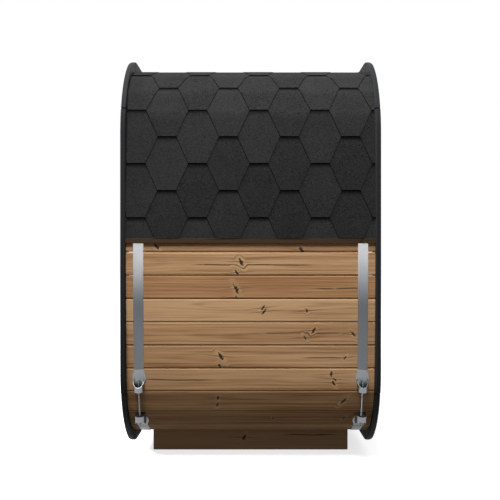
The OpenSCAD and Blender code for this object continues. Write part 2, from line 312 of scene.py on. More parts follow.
def wood(name, light, dark, red, knot, seen_knots=("knot_a", "knot_b", "knot_c")):
    """Heat-treated softwood. Growth rings are cut flat: ring = |(across + c, depth + d)|."""
    f = Finish(name)
    along, across, depth = f.parts(f.attribute("grain"))
    tone, warmth, seed = f.parts(f.attribute("board"))
    line, line_start, line_end = f.parts(f.attribute("streak"))
    swerve = across
    spots, halos, tails = 0.0, 0.0, 0.0
    edge_noise = f.noise(f.vector(along * 95, across * 120, seed), 3.0) - 0.5
    for knot_name in seen_knots:
        knot_along, knot_across, size = f.parts(f.attribute(knot_name))
        off = across - knot_across
        beside = along - knot_along
        lean = beside * 1.25 + off * ((knot_along * 71).wave() * 1.7 - 0.85)
        reach = ((lean * lean + off * off * 0.36) ** 0.5) / size
        spot = (reach + edge_noise * 2.1).fall(0.75, 1.25)
        halo = reach.fall(0.7, 3.6)
        swerve = swerve - off * halo * 0.8
        bent = off + (edge_noise * 0.006) + beside * ((knot_across * 310).wave() * 0.24 - 0.12)
        tail = abs(bent).fall(0.0008, 0.0032) * abs(beside).fall(0.01, 0.13)
        spots, halos, tails = spot.most(spots), halo.most(halos), tail.most(tails)
    drift = f.noise(f.vector(along * 1.5, across * 5, seed), 2.0) - 0.5
    ring = ((swerve + (warmth - 0.5) * 0.11) ** 2.0 + (depth + 0.035 + tone * 0.05) ** 2.0) ** 0.5
    growth = ((ring + drift * 0.030) * 620).wave() ** 2.0
    strands = f.noise(f.vector(along * 1.3 + seed, swerve * 85, seed * 3), 3.0, 0.55)
    fibres = f.noise(f.vector(along * 14, swerve * 520, seed), 2.0, 0.6)
    clouds = f.noise(f.vector(along * 1.1 + seed, swerve * 11, seed * 5), 2.0)
    fade = f.noise(f.vector(along * 2.2, swerve * 16, seed * 7), 1.0).rise(0.42, 0.62)
    share = (tone - 0.42) * 0.85 + (strands - 0.5) * 1.9 + (clouds - 0.5) * 1.3 + 0.36
    share = share + growth * 0.30 * (0.35 + fade) + (fibres - 0.5) * 0.30
    wavering = (f.noise(f.vector(along * 5, seed, seed), 2.0) - 0.5) * 0.014
    near = abs(swerve - line - wavering).fall(0.0010, 0.0048)
    near = near * along.rise(line_start, line_start + 0.10) * along.fall(line_end - 0.12, line_end)
    near = near * f.noise(f.vector(along * 9, seed * 11, 0.0), 2.0).rise(0.25, 0.45)
    near = near.most(tails * 0.75)
    body = f.mix(share, light, dark)
    body = f.mix(warmth * 0.55 * (0.4 + clouds), body, red)
    body = f.mix(halos * 0.38, body, light)
    # Painted highlight: lighter where the grain depth lies just below a board's face, which on the
    # staves is their edge chamfers.
    body = f.mix(depth.fall(-0.0030, -0.0006) * 0.55, body, light)
    body = f.mix(near * 0.85, body, knot)
    tint = f.mix(spots * 0.95, body, knot)
    height = (1 - growth) * 0.35 + fibres * 0.35 - near * 1.2 - spots * 0.8
    return f.finish(specular=0.08, base_color=tint, roughness=0.62 + strands * 0.16,
                    normal=f.bump(height, 0.0006, 0.55))


def granules(name, base):
    """Bitumen shingle: crushed stone grains, with painted shadow lines along the tab edges and a
    darker band under the edge of the row above.
    """
    f = Finish(name)
    across, up, seed = f.parts(f.attribute("cell"))
    tone = f.node("ShaderNodeAttribute", {"attribute_name": "tone"}, out="Fac")
    pitch, flat, rise = sizes().tab_pitch, sizes().tab_flat, sizes().exposure
    side_gap = (pitch - flat) / 2 - (up - rise) * ((pitch / 2 - flat) / rise) - abs(across)
    slope = (side_gap * (rise / math.hypot(rise, pitch / 2 - flat))).most(rise - up)
    end = 2 * rise - up
    # Painted shadow: a dark line along the tab edges, stronger on the right-hand slopes, and along
    # the flat ends of the row above.
    line = slope.fall(0.0014, 0.0068) * (0.62 + across.rise(-0.01, 0.01) * 0.35)
    line = line.most(end.fall(0.0030, 0.0070))
    # The darker band under the flat ends of the row above is partly the shingles' printed shadow band
    # and partly painted shade.
    shade = end.fall(0.004, 0.034)
    place = f.place()
    speckle = f.noise(f.node("ShaderNodeVectorMath", {"operation": "SCALE"}, place, Scale=420.0), 2.0)
    grains = f.node("ShaderNodeTexVoronoi", {"feature": "F1"}, Vector=place, Scale=480.0,
                    out="Distance")
    patches = f.noise(f.node("ShaderNodeVectorMath", {"operation": "SCALE"}, place, Scale=9.0), 3.0)
    coarse = f.noise(f.node("ShaderNodeVectorMath", {"operation": "SCALE"}, place, Scale=150.0), 1.0)
    level = 0.80 + tone * 0.30 + (speckle - 0.5) * 2.0 + (coarse - 0.5) * 1.5 + (patches - 0.5) * 0.3
    level = level * (1 - shade * 0.80) * (1 - line * 0.85)
    tint = f.scale(tuple(base), level.most(0.05))
    return f.finish(specular=0.03, base_color=tint, roughness=0.93,
                    normal=f.bump(grains + speckle * 0.5, 0.0007, 0.7))


def paint_coat(name, base):
    """Dark satin paint over a wooden board, with painted shade in the joints between the boards, and
    lighter towards the top as painted light.
    """
    f = Finish(name)
    place = f.place()
    x, y, z = f.parts(place)
    grain = f.noise(f.vector(x * 60, y * 9, z * 9), 3.0)
    scuffs = f.noise(f.vector(x * 5, y * 5, z * 5), 4.0, 0.6)
    height = z / CAD_BOX[1][2]
    low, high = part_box("left_ring_sides")
    cap_low, cap_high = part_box("left_ring_caps")
    side_gap = abs(abs(z - (low[2] + high[2]) / 2) - (high[2] - low[2]) / 2)
    cap_gap = abs(abs(y) - (cap_high[1] - cap_low[1]) / 2)
    # Painted shade in the grooves where the ring boards meet.
    joint_shade = side_gap.least(cap_gap).fall(0.0030, 0.0070)
    # Painted light: the paint is lighter towards the top, as if lit from above, and darker towards
    # the bottom.
    level = (0.30 + height * 0.90) * (0.85 + grain * 0.2 + (scuffs - 0.5) * 0.3)
    level = level * (1 - joint_shade * 0.9)
    return f.finish(specular=0.05, base_color=f.scale(tuple(base), level),
                    roughness=0.52 + scuffs * 0.2, normal=f.bump(grain, 0.0004, 0.35))


def brushed_steel(name, high, low, across_scale):
    """Stainless steel with fine brush marks that run round the cabin."""
    f = Finish(name)
    x, y, z = f.parts(f.place())
    marks = f.noise(f.vector(x * across_scale, y * 4, z * 4), 3.0, 0.65)
    spread = f.noise(f.vector(x * 6, y * 6, z * 6), 3.0)
    # Painted reflection: the colour goes from low to high with height, dark lower down and bright
    # near the eave.
    tint = f.mix(z.rise(0.86, 1.29), low, high)
    tint = f.scale(tint, 0.90 + (marks - 0.5) * 0.34 + (spread - 0.5) * 0.16)
    return f.finish(metallic=1.0, base_color=tint, roughness=0.30 + marks * 0.12,
                    normal=f.bump(marks, 0.0002, 0.30))


# ---------------------------------------------------------------------------------------------
# Barrel outline

def corner_points(node):
    """The (Y, Z) corners of a CAD node at its low X end, each once."""
    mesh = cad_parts[node].data
    points = np.empty(len(mesh.vertices) * 3)
    mesh.vertices.foreach_get("co", points)
    points = points.reshape(-1, 3)
    low = points[points[:, 0] < points[:, 0].min() + 1e-5][:, 1:]
    return np.unique(np.round(low, 5), axis=0)


class Barrel:
    """The flat-faced barrel outline, read from the stave nodes."""

    def __init__(self):
        corners = {node: corner_points(node) for node in STAVE_NODES}
        points = np.unique(np.vstack(list(corners.values())), axis=0)
        self.middle = (points.min(0) + points.max(0)) / 2
        from_middle = points - self.middle
        angles = np.arctan2(from_middle[:, 1], -from_middle[:, 0])
        order = np.argsort(np.hypot(*from_middle.T))
        thickness = sizes_of_stave()
        outer = []
        for index in order[::-1]:
            if all(np.hypot(*(points[index] - points[o])) > 1.5 * thickness for o in outer):
                outer.append(index)
        outer = sorted(outer, key=lambda index: angles[index] % (2 * math.pi))
        if angles[outer[-1]] % (2 * math.pi) > 2 * math.pi - 0.02:
            outer = outer[-1:] + outer[:-1]
        self.outer = points[outer]
        self.count = len(outer)
        inner = np.delete(points, outer, axis=0)
        gaps = np.linalg.norm(self.outer[:, None] - inner[None], axis=2)
        self.inner = inner[gaps.argmin(1)]
        out = self.outer - self.inner
        self.normal = out / np.linalg.norm(out, axis=1, keepdims=True)
        self.pitch = np.linalg.norm(np.roll(self.outer, -1, axis=0) - self.outer, axis=1).mean()
        self.half_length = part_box(STAVE_NODES[0])[1][0]
        self.quarter = self.count // 4
        self.members = {node: self.staves_in(corners[node]) for node in STAVE_NODES}

    def staves_in(self, corners):
        """The staves whose two outer joints are both corners of the node."""
        near = [np.linalg.norm(corners - p, axis=1).min() < 2e-4 for p in self.outer]
        return [i for i in range(self.count) if near[i] and near[(i + 1) % self.count]]

    def rim(self, station, offset):
        """(Y, Z) at stations along the flat faces, moved out by offset.

        rim = (1 - f) joint(i) + f joint(i + 1), with i + f = station.
        """
        index = np.floor(station).astype(int)
        share = (station - index)[..., None]
        after = (index + 1) % self.count
        index = index % self.count
        joints = self.outer[index] * (1 - share) + self.outer[after] * share
        normals = self.normal[index] * (1 - share) + self.normal[after] * share
        return joints + normals * np.asarray(offset)[..., None]

    def station_at(self, height):
        """Station on the front, from mid height to the top, at a height."""
        return float(np.interp(height, self.outer[:self.quarter + 1, 1],
                               np.arange(self.quarter + 1)))


def sizes_of_stave():
    """Thickness of the staves, from the flat roof stave's inner and outer height."""
    points = corner_points("roof_staves")
    middle = points[np.abs(points[:, 0]) < 0.01]
    return float(np.ptp(middle[:, 1]))


# ---------------------------------------------------------------------------------------------
# Meshes and pieces

def make_piece(name, vertices, faces, material, nodes, attributes=None, sharp=35.0):
    """A closed mesh in place in the row frame that stands for CAD nodes."""
    mesh = bpy.data.meshes.new(name)
    mesh.from_pydata(np.asarray(vertices, float).tolist(), [], faces)
    for key, values in (attributes or {}).items():
        write_attribute(mesh, key, np.asarray(values, np.float32))
    build = bmesh.new()
    build.from_mesh(mesh)
    bmesh.ops.recalc_face_normals(build, faces=build.faces)
    build.to_mesh(mesh)
    build.free()
    return show(name, mesh, material, nodes, sharp)


def write_attribute(mesh, key, values):
    kind, field = ("FLOAT", "value") if values.ndim == 1 else ("FLOAT_VECTOR", "vector")
    mesh.attributes.new(key, kind, "POINT").data.foreach_set(field, values.ravel())


def show(name, mesh, material, nodes, sharp):
    mesh.shade_smooth()
    mesh.set_sharp_from_angle(angle=math.radians(sharp))
    piece = bpy.data.objects.new(name, mesh)
    bpy.context.scene.collection.objects.link(piece)
    mesh.materials.append(material)
    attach(piece, "root")
    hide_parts(*nodes)
    return piece


def join_sections(sections):
    """Vertices and faces of a closed body through sections of equal point count."""
    sections = np.asarray(sections)
    rows, points = sections.shape[:2]
    step = np.arange(points)
    after = (step + 1) % points
    quads = [np.stack([r * points + step, r * points + after,
                       (r + 1) * points + after, (r + 1) * points + step], 1)
             for r in range(rows - 1)]
    faces = np.vstack(quads).tolist()
    faces.append(step[::-1].tolist())
    faces.append((step + (rows - 1) * points).tolist())
    return sections.reshape(-1, 3), faces


class Pile:
    """Closed bodies gathered into one mesh, with their attributes."""

    def __init__(self):
        self.vertices, self.faces, self.attributes, self.total = [], [], {}, 0

    def add(self, vertices, faces, **attributes):
        self.vertices.append(vertices)
        self.faces += [[i + self.total for i in face] for face in faces]
        for key, values in attributes.items():
            values = np.asarray(values, float)
            if values.shape[:1] != (len(vertices),):
                values = np.tile(values, (len(vertices), 1))
            self.attributes.setdefault(key, []).append(values)
        self.total += len(vertices)

    def piece(self, name, material, nodes, slot, sharp=35.0):
        attributes = {key: np.concatenate(values) for key, values in self.attributes.items()}
        return make_piece(name, np.vstack(self.vertices), self.faces, material, nodes,
                          attributes, sharp)


FAR = (9.0, 9.0, 0.01)                    # a knot that lies outside every board


def board_look(rng, half_width, half_length):
    """Attributes of a board: tone, knots and resin line, drawn at random."""
    knots = []
    for chance in (0.75, 0.45, 0.2):
        place = (rng.uniform(-half_length, half_length), rng.uniform(-half_width, half_width),
                 rng.uniform(0.005, 0.012))
        knots.append(place if rng.random() < chance else FAR)
    start = rng.uniform(-half_length, half_length)
    line = (rng.uniform(-half_width, half_width) * 0.8, start, start + rng.uniform(0.1, 0.8))
    look = {"board": (rng.uniform(0.1, 0.8), rng.uniform(0.1, 0.9), rng.uniform(0, 40)),
            "streak": line}
    look.update(zip(("knot_a", "knot_b", "knot_c"), knots))
    return look


def front_look(barrel, stave, look):
    """Puts the listed knots, lines and tones on a front stave."""
    low, high = barrel.outer[stave], barrel.outer[(stave + 1) % barrel.count]
    if low[0] > 0 or not 0.2 < (low[1] + high[1]) / 2 < barrel.middle[1] + 0.1:
        return look

    def across(height):
        share = (height - low[1]) / (high[1] - low[1])
        return (share - 0.5) * barrel.pitch

    def inside(height):
        return low[1] <= height < high[1]

    knots = [(x, across(z), size) for x, z, size in FRONT_KNOTS if inside(z)]
    knots = (knots + [FAR] * 3)[:3]
    look.update(zip(("knot_a", "knot_b", "knot_c"), knots))
    lines = [(across(z), start, end) for z, start, end in FRONT_LINES if inside(z)]
    look["streak"] = lines[0] if lines else (0.0, 8.0, 9.0)
    row = (-stave) % barrel.count
    # The front staves' tones carry painted shade towards the bottom.
    if row < len(FRONT_TONES_AND_SHADE):
        look["board"] = (FRONT_TONES_AND_SHADE[row], FRONT_WARMTHS[row], look["board"][2])
    return look


def stave_section(corners, gap, chamfer, inner_chamfer):
    """Section of a stave: its four corners pulled in by the gap, each cut by a chamfer."""
    outer_a, outer_b, inner_b, inner_a = corners
    slide = (outer_b - outer_a) / np.linalg.norm(outer_b - outer_a) * gap / 2
    loop = [outer_a + slide, outer_b - slide, inner_b - slide, inner_a + slide]
    cuts = (chamfer, chamfer, inner_chamfer, inner_chamfer)
    section = []
    for i, cut in enumerate(cuts):
        here, before, after = loop[i], loop[i - 1], loop[(i + 1) % 4]
        to_before = (before - here) / np.linalg.norm(before - here)
        to_after = (after - here) / np.linalg.norm(after - here)
        section += [here + to_before * cut, here + (to_before + to_after) * cut * 0.24,
                    here + to_after * cut]
    return np.array(section)


def make_staves(barrel, node, material, rng):
    """The single staves of one stave node, each with its own tone, knots and depth."""
    pile = Pile()
    half, bevel = barrel.half_length, sizes().end_bevel
    for stave in barrel.members[node]:
        after = (stave + 1) % barrel.count
        sink = rng.uniform(0, 0.0007)
        outward = (barrel.normal[stave] + barrel.normal[after]) / 2
        corners = [barrel.outer[stave] - outward * sink, barrel.outer[after] - outward * sink,
                   barrel.inner[after], barrel.inner[stave]]
        section = stave_section(corners, sizes().stave_gap, sizes().stave_chamfer, 0.003)
        centre = section.mean(0)
        small = section + (centre - section) * (bevel / 0.021)
        rows = [(-half, small), (-half + bevel, section), (half - bevel, section), (half, small)]
        solid = [np.column_stack([np.full(len(s), x), s]) for x, s in rows]
        vertices, faces = join_sections(solid)
        edge = corners[1] - corners[0]
        width = np.linalg.norm(edge)
        off = vertices[:, 1:] - corners[0]
        grain = np.column_stack([vertices[:, 0], off @ (edge / width) - width / 2, off @ outward])
        look = front_look(barrel, stave, board_look(rng, width / 2, half))
        pile.add(vertices, faces, grain=grain, **look)
    return pile.piece(node + "_boards", material, [node], "thermowood", sharp=12)


def islands(mesh):
    """Number of the separate body that each vertex belongs to."""
    label = np.arange(len(mesh.vertices))
    edges = np.empty(len(mesh.edges) * 2, int)
    mesh.edges.foreach_get("vertices", edges)
    edges = edges.reshape(-1, 2)
    while True:
        least = label.copy()
        np.minimum.at(least, edges[:, 0], label[edges[:, 1]])
        np.minimum.at(least, edges[:, 1], label[edges[:, 0]])
        least = least[least]
        if (least == label).all():
            return label
        label = least


def copy_node(node, name, material, bevel=0.0, grain_axis=None, rng=None, sharp=35.0):
    """A merged copy of a CAD node, with its edges bevelled where a bevel is given."""
    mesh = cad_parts[node].data.copy()
    mesh.name = name
    mesh.materials.clear()
    build = bmesh.new()
    build.from_mesh(mesh)
    bmesh.ops.remove_doubles(build, verts=build.verts, dist=2e-5)
    bmesh.ops.dissolve_limit(build, angle_limit=math.radians(0.4), verts=build.verts,
                             edges=build.edges)
    bmesh.ops.recalc_face_normals(build, faces=build.faces)
    build.to_mesh(mesh)
    build.free()
    if grain_axis is not None:
        stamp_grain(mesh, grain_axis, rng)
    piece = show(name, mesh, material, [node], sharp)
    if bevel:
        cut = piece.modifiers.new("edges", "BEVEL")
        cut.width = bevel
        cut.segments = 2
        cut.limit_method = "ANGLE"
        cut.angle_limit = math.radians(40)
        cut.use_clamp_overlap = False
    return piece


def stamp_grain(mesh, axis, rng):
    """Gives a mesh of boards its grain along an axis, and each board a look of its own."""
    points = np.empty(len(mesh.vertices) * 3)
    mesh.vertices.foreach_get("co", points)
    points = points.reshape(-1, 3)
    label = islands(mesh)
    looks = {number: None for number in sorted(set(label.tolist()))}
    middle = np.zeros_like(points)
    for number in looks:
        own = label == number
        middle[own] = (points[own].min(0) + points[own].max(0)) / 2
        half = np.ptp(points[own], axis=0) / 2
        looks[number] = board_look(rng, sorted(half)[1], half[axis])
    local = np.roll(points - middle, -axis, axis=1)
    others = local[:, 1:]
    if np.ptp(others[:, 1]) > np.ptp(others[:, 0]):
        local = local[:, [0, 2, 1]]
    write_attribute(mesh, "grain", local.astype(np.float32))
    for key in ("board", "streak", "knot_a", "knot_b", "knot_c"):
        values = np.array([looks[n][key] for n in label.tolist()], np.float32)
        write_attribute(mesh, key, values)


def make_shingles(barrel, material, rng):
    """Hexagonal tabs in rows from both eaves to the ridge.

    A tab's half width is flat / 2 + (pitch / 2 - flat) t for t = (s - start) / exposure up to 1,
    then pitch / 2, and its outer face lies at deck + thickness (2 - t).
    """
    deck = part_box("top_roof_deck")[1][2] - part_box("roof_staves")[1][2]
    sheet = (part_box("top_shingles")[1][2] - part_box("top_roof_deck")[1][2]) / 2
    eave = barrel.station_at(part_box("front_eave_batten")[1][2]) * barrel.pitch
    top = barrel.quarter * barrel.pitch
    pitch, flat, rise = sizes().tab_pitch, sizes().tab_flat, sizes().exposure
    half = barrel.half_length
    rows = int((top - eave + sizes().eave_cut) / rise) + 1
    breaks = np.arange(barrel.quarter + 1) * barrel.pitch
    piles = {node: Pile() for node in SHINGLE_NODES}
    for back in (False, True):
        for row in range(-1, rows):
            start = eave - sizes().eave_cut + row * rise
            low, high = max(start, eave), min(start + 2 * rise + sizes().tuck, top)
            marks = np.concatenate([np.linspace(low, high, 8), [start + rise], breaks])
            marks = np.unique(np.round(marks[(marks >= low) & (marks <= high)], 5))
            share = (marks - start) / rise
            widths = flat / 2 + (pitch / 2 - flat) * share
            widths = np.where(share <= 1.0, widths, pitch / 2 - 0.0008)
            shift = sizes().tab_shift + (0 if row % 2 else pitch / 2)
            first = math.floor((-half - shift) / pitch)
            for tab in range(first, first + int(2 * half / pitch) + 3):
                centre = shift + tab * pitch
                left = np.clip(centre - widths, -half, half - 0.001)
                right = np.clip(centre + widths, -half + 0.001, half)
                if centre - pitch / 2 > half - 0.002 or centre + pitch / 2 < -half + 0.002:
                    continue
                right = np.maximum(right, left + 0.001)
                lift = rng.uniform(-0.00015, 0.00015)
                outer_off = deck + sheet * (2 - share) + lift
                inner_off = np.maximum(outer_off - sheet, deck + 0.0001)
                outer_off = np.maximum(outer_off, inner_off + 0.0004)
                station = marks / barrel.pitch
                if back:
                    station = 2 * barrel.quarter - station
                outer = barrel.rim(station, outer_off)
                inner = barrel.rim(station, inner_off)
                sections = [[(a, *o), (b, *o), (b, *i), (a, *i)]
                            for a, b, o, i in zip(left, right, outer, inner)]
                vertices, faces = join_sections(sections)
                cell = np.column_stack([vertices[:, 0] - centre,
                                        np.repeat(marks - start, 4),
                                        np.full(len(vertices), rng.uniform(0, 9))])
                tone = np.full(len(vertices), rng.uniform(0, 1))
                on_top = start + rise > top - 4.6 * barrel.pitch
                node = SHINGLE_NODES[1] if on_top else SHINGLE_NODES[2 if back else 0]
                piles[node].add(vertices, faces, cell=cell, tone=tone)
    add_ridge(barrel, piles[SHINGLE_NODES[1]], deck + 2 * sheet, rng)
    for node, pile in piles.items():
        pile.piece(node + "_tabs", material, [node], "shingle", sharp=50)


def add_ridge(barrel, pile, base, rng):
    """Cap shingles that overlap along the ridge, where the rows of both slopes meet."""
    half, reach, step = barrel.half_length, 0.11, 0.17
    count = math.ceil(2 * half / step)
    for cap in range(count):
        low = -half + cap * step
        high = min(low + step * 1.5, half)
        across = np.linspace(-reach, reach, 5) / barrel.pitch + barrel.quarter
        sections = []
        for x, lift in ((low, 0.0022), (high, 0.0004)):
            outer = barrel.rim(across, np.full(5, base + lift + 0.0018))
            inner = barrel.rim(across[::-1], np.full(5, base + lift - 0.0004))
            sections.append([(x, *p) for p in np.vstack([outer, inner])])
        vertices, faces = join_sections(sections)
        cell = np.tile((0.0, 0.0, rng.uniform(0, 9)), (len(vertices), 1))
        pile.add(vertices, faces, cell=cell, tone=np.full(len(vertices), rng.uniform(0, 1)))


def make_rods(material):
    """Threaded rods: radius = outer - depth |2 frac(length / pitch - turn) - 1|."""
    pile = Pile()
    points = np.empty(len(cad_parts["tensioner_rods"].data.vertices) * 3)
    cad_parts["tensioner_rods"].data.vertices.foreach_get("co", points)
    points = points.reshape(-1, 3)
    around, pitch, depth = 14, sizes().thread_pitch, sizes().thread_depth
    turn = np.arange(around) / around
    for sx in (-1, 1):
        for sy in (-1, 1):
            own = points[(points[:, 0] * sx > 0) & (points[:, 1] * sy > 0)]
            high = own[own[:, 2] > own[:, 2].max() - 0.006]
            low = own[own[:, 2] < own[:, 2].min() + 0.006]
            ends = low.mean(0), high.mean(0)
            middle = (own.min(0) + own.max(0)) / 2
            length_of = np.linalg.norm(ends[1] - ends[0])
            axis = (ends[1] - ends[0]) / length_of
            side = np.array([1.0, 0.0, 0.0])
            other = np.cross(axis, side)
            radius = np.ptp(own[:, 0]) / 2
            true_length = length_of
            run = np.arange(0, true_length, pitch / 4)
            saw = np.abs(2 * ((run[:, None] / pitch - turn[None]) % 1) - 1)
            edge = np.minimum(1, np.minimum(run, true_length - run) / 0.0015)[:, None]
            r = (radius - depth * saw) * (0.80 + 0.20 * edge)
            ring_angle = 2 * math.pi * turn
            centre = middle + axis * (run - true_length / 2)[:, None]
            sections = (centre[:, None] + (r * np.cos(ring_angle))[..., None] * side
                        + (r * np.sin(ring_angle))[..., None] * other)
            pile.add(*join_sections(sections))
    return pile.piece("threaded_rods", material, ["tensioner_rods"], "steel", sharp=80)


def outline_height(barrel, y, upper):
    """Height of the barrel's inner outline at a distance from the middle."""
    half = barrel.quarter
    loop = barrel.inner
    index = (np.arange(half * 2 + 1) if upper else
             -np.arange(half * 2 + 1)) % barrel.count
    return np.interp(y, loop[index, 0], loop[index, 1])


def make_wall(barrel, name, nodes, x_low, x_high, y_low, y_high, material, rng, floor=None,
              ceiling=None):
    """Upright boards between two Y values, cut to the barrel, with chamfered edges."""
    count = max(1, round((y_high - y_low) / sizes().wall_board))
    marks = np.linspace(y_low, y_high, count + 1)
    pile = Pile()
    gap = 0.0012
    reach = barrel.inner[:, 0].max() - 0.012
    for left, right in zip(marks[:-1], marks[1:]):
        y = np.clip(np.linspace(left + gap / 2, right - gap / 2, 5), -reach, reach)
        bottom = outline_height(barrel, y, False) if floor is None else np.full(5, floor)
        top = outline_height(barrel, y, True) if ceiling is None else np.full(5, ceiling)
        loop = np.column_stack([np.concatenate([y, y[::-1]]), np.concatenate([bottom, top[::-1]])])
        centre = loop.mean(0)
        small = loop.copy()
        inward = np.sign(centre[0] - loop[:, 0]) * (np.abs(loop[:, 0] - centre[0]) > 0.03)
        small[:, 0] += inward * 0.004
        rows = [(x_low, small), (x_low + 0.004, loop), (x_high - 0.004, loop), (x_high, small)]
        vertices, faces = join_sections([np.column_stack([np.full(10, x), s]) for x, s in rows])
        grain = np.column_stack([vertices[:, 2] - centre[1], vertices[:, 1] - centre[0],
                                 vertices[:, 0] - x_high])
        pile.add(vertices, faces, grain=grain,
                 **board_look(rng, (right - left) / 2, np.ptp(loop[:, 1]) / 2))
    return pile.piece(name, material, nodes, "thermowood")


# ---------------------------------------------------------------------------------------------
# Materials and the barrel, made once

made = {}


def barrel_shape():
    if "barrel" not in made:
        made["barrel"] = Barrel()
    return made["barrel"]


def material(name):
    """The named finish, made on its first use."""
    c = colours()
    makers = {
        "thermowood": lambda: wood("thermowood", c.wood_light, c.wood_dark, c.wood_red, c.knot),
        "dark_wood": lambda: wood("dark_wood", c.plank_light, c.plank_dark, c.plank_dark, c.knot),
        # The batten finish is a darkened copy of the wood, painted shade under the eaves.
        "batten": lambda: wood("shaded_batten_wood", c.shaded_batten_light, c.shaded_batten_dark, c.shaded_batten_dark, c.knot),
        "shingle": lambda: granules("bitumen_shingle", c.shingle),
        "painted_board": lambda: paint_coat("painted_board", c.paint),
        "band": lambda: brushed_steel("brushed_band", c.band_high_reflection, c.band_low_reflection, 700),
        "steel": lambda: brushed_steel("bright_steel", c.steel, c.steel, 300),
    }
    if name not in made:
        made[name] = makers[name]()
    return made[name]


# ---------------------------------------------------------------------------------------------
# Operators

class MakeStaves(bpy.types.Operator):
    """Make the single staves of the barrel."""

    bl_idname = "sauna.make_staves"
    bl_label = "Make staves"

    def execute(self, context):
        rng = np.random.default_rng(11)
        for node in STAVE_NODES:
            make_staves(barrel_shape(), node, material("thermowood"), rng)
        return {"FINISHED"}


class MakeRoofDeck(bpy.types.Operator):
    """Make the deck under the shingles and the battens under the eaves."""

    bl_idname = "sauna.make_roof_deck"
    bl_label = "Make roof deck"

    def execute(self, context):
        rng = np.random.default_rng(12)
        for node in DECK_NODES:
            copy_node(node, node + "_boards", material("dark_wood"), 0.0, 0, rng)
        for node in BATTEN_NODES:
            copy_node(node, node + "_board", material("batten"), 0.0015, 0, rng)
        return {"FINISHED"}


class MakeShingles(bpy.types.Operator):
    """Make the hexagonal shingles."""

    bl_idname = "sauna.make_shingles"
    bl_label = "Make shingles"

    def execute(self, context):
        make_shingles(barrel_shape(), material("shingle"), np.random.default_rng(13))
        return {"FINISHED"}


class MakeRings(bpy.types.Operator):
    """Make the painted boards of the end rings."""

    bl_idname = "sauna.make_rings"
    bl_label = "Make end rings"

    def execute(self, context):
        for node in RING_NODES:
            copy_node(node, node + "_boards", material("painted_board"),
                      sizes().board_bevel)
        return {"FINISHED"}


class MakeBands(bpy.types.Operator):
    """Make the steel bands."""

    bl_idname = "sauna.make_bands"
    bl_label = "Make bands"

    def execute(self, context):
        for node in BAND_NODES:
            copy_node(node, node + "_strip", material("band"), 0.0, sharp=45)
        return {"FINISHED"}


class MakeTensioners(bpy.types.Operator):
    """Make the cups, rods and nuts of the tensioners."""

    bl_idname = "sauna.make_tensioners"
    bl_label = "Make tensioners"

    def execute(self, context):
        for node in ("upper_tensioner_cups", "lower_tensioner_cups"):
            copy_node(node, node + "_pressed", material("steel"), 0.0008)
        copy_node("tensioner_nuts", "hexagon_nuts", material("steel"), 0.0009)
        make_rods(material("steel"))
        return {"FINISHED"}


class MakeBase(bpy.types.Operator):
    """Make the base planks and the cross beams."""

    bl_idname = "sauna.make_base"
    bl_label = "Make base"

    def execute(self, context):
        rng = np.random.default_rng(14)
        copy_node("base_skids", "base_planks", material("dark_wood"), 0.004, 0, rng)
        copy_node("base_crossbeams", "cross_beams", material("dark_wood"), 0.003, 1,
                  rng)
        return {"FINISHED"}


class MakeEndWalls(bpy.types.Operator):
    """Make the upright boards of the end walls."""

    bl_idname = "sauna.make_end_walls"
    bl_label = "Make end walls"

    def execute(self, context):
        barrel, skin = barrel_shape(), material("thermowood")
        rng = np.random.default_rng(15)
        reach = barrel.inner[:, 0].max()
        low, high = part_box("left_end_wall")
        make_wall(barrel, "left_wall_boards", ["left_end_wall"], low[0], high[0], -reach, reach,
                  skin, rng)
        for node, name in (("right_wall_front", "right_wall_front_boards"),
                           ("right_wall_back", "right_wall_back_boards")):
            low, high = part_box(node)
            make_wall(barrel, name, [node], low[0], high[0], low[1], high[1], skin, rng)
        low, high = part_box("right_wall_over_door")
        make_wall(barrel, "over_door_boards", ["right_wall_over_door"], low[0], high[0], low[1],
                  high[1], skin, rng, floor=low[2])
        return {"FINISHED"}


class MakeDoor(bpy.types.Operator):
    """Make the door leaf of upright planks, its frame, hinges and handle."""

    bl_idname = "sauna.make_door"
    bl_label = "Make door"

    def execute(self, context):
        skin = material("thermowood")
        rng = np.random.default_rng(16)
        low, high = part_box("door_leaf")
        make_wall(barrel_shape(), "door_planks", ["door_leaf"], low[0], high[0], low[1], high[1],
                  skin, rng, floor=low[2], ceiling=high[2])
        for node, axis in (("door_jambs", 2), ("door_head", 1), ("door_sill", 1)):
            copy_node(node, node + "_boards", skin, 0.003, axis, rng)
        copy_node("door_handle", "handle_grip", skin, 0.007, 2, rng)
        copy_node("door_hinges", "butt_hinges", material("steel"), 0.0007)
        return {"FINISHED"}


def add_lamp(name, place, target, size, energy, tint=(1, 1, 1)):
    """A square soft lamp that points at a target."""
    lamp = bpy.data.lights.new(name, "AREA")
    lamp.size = size
    lamp.energy = energy
    lamp.color = tint
    holder = bpy.data.objects.new(name, lamp)
    holder.location = place
    direction = np.array(target, float) - np.array(place, float)
    yaw = math.atan2(direction[1], direction[0])
    pitch = math.atan2(math.hypot(direction[0], direction[1]), -direction[2])
    holder.rotation_euler = (pitch, 0, yaw - math.pi / 2)
    bpy.context.scene.collection.objects.link(holder)


def seen_rays(tree):
    """1 for the rays that show a background: camera, glossy and transmission rays."""
    path = tree.nodes.new("ShaderNodeLightPath")
    total = path.outputs["Is Camera Ray"]
    for name in ("Is Glossy Ray", "Is Transmission Ray"):
        most = tree.nodes.new("ShaderNodeMath")
        most.operation = "MAXIMUM"
        tree.links.new(total, most.inputs[0])
        tree.links.new(path.outputs[name], most.inputs[1])
        total = most.outputs[0]
    return total


